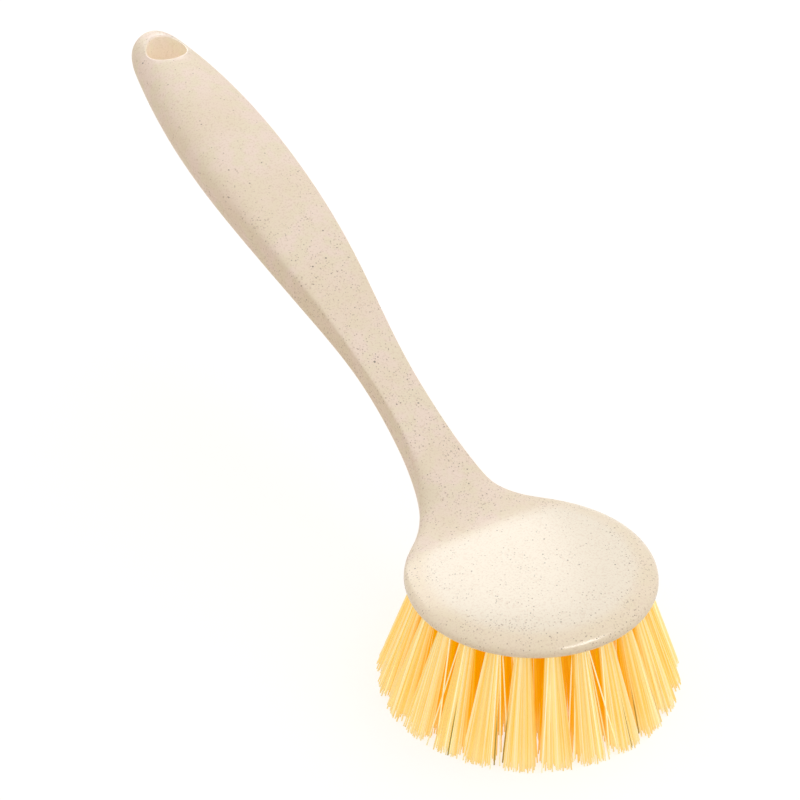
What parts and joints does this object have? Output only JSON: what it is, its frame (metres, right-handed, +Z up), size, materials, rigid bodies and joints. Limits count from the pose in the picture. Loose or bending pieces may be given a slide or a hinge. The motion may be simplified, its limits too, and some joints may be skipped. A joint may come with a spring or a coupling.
{
  "type": "kitchen brush",
  "caption": "Round dish brush: a moulded plastic head that runs into an arched handle with a hang hole, and fanned tufts of pale yellow bristles.",
  "frame": {"origin": "centre of the level plane of the bristle tips that the brush stands on, on the head's axis", "axes": "+Z up along the head's axis, +Y from the head along the handle, +X across the handle; the brush is alike on both sides of X = 0"},
  "size_m": [0.088, 0.2652, 0.1076],
  "materials": {
    "moulding": "satin, fine dark specks",
    "bristles": "smooth, slightly see-through"
  },
  "bodies": {
    "root": {"handle_body": "moulding", "tuft_centre": "bristles", "tuft_inner_01": "bristles", "tuft_inner_02": "bristles", "tuft_inner_03": "bristles", "tuft_inner_04": "bristles", "tuft_inner_05": "bristles", "tuft_inner_06": "bristles", "tuft_inner_07": "bristles", "tuft_inner_08": "bristles", "tuft_middle_01": "bristles", "tuft_middle_02": "bristles", "tuft_middle_03": "bristles", "tuft_middle_04": "bristles", "tuft_middle_05": "bristles", "tuft_middle_06": "bristles", "tuft_middle_07": "bristles", "tuft_middle_08": "bristles", "tuft_middle_09": "bristles", "tuft_middle_10": "bristles", "tuft_middle_11": "bristles", "tuft_middle_12": "bristles", "tuft_middle_13": "bristles", "tuft_middle_14": "bristles", "tuft_middle_15": "bristles", "tuft_middle_16": "bristles", "tuft_outer_01": "bristles", "tuft_outer_02": "bristles", "tuft_outer_03": "bristles", "tuft_outer_04": "bristles", "tuft_outer_05": "bristles", "tuft_outer_06": "bristles", "tuft_outer_07": "bristles", "tuft_outer_08": "bristles", "tuft_outer_09": "bristles", "tuft_outer_10": "bristles", "tuft_outer_11": "bristles", "tuft_outer_12": "bristles", "tuft_outer_13": "bristles", "tuft_outer_14": "bristles", "tuft_outer_15": "bristles", "tuft_outer_16": "bristles", "tuft_outer_17": "bristles", "tuft_outer_18": "bristles", "tuft_outer_19": "bristles", "tuft_outer_20": "bristles", "tuft_outer_21": "bristles", "tuft_outer_22": "bristles", "tuft_outer_23": "bristles", "tuft_outer_24": "bristles"}
  },
  "joints": []
}
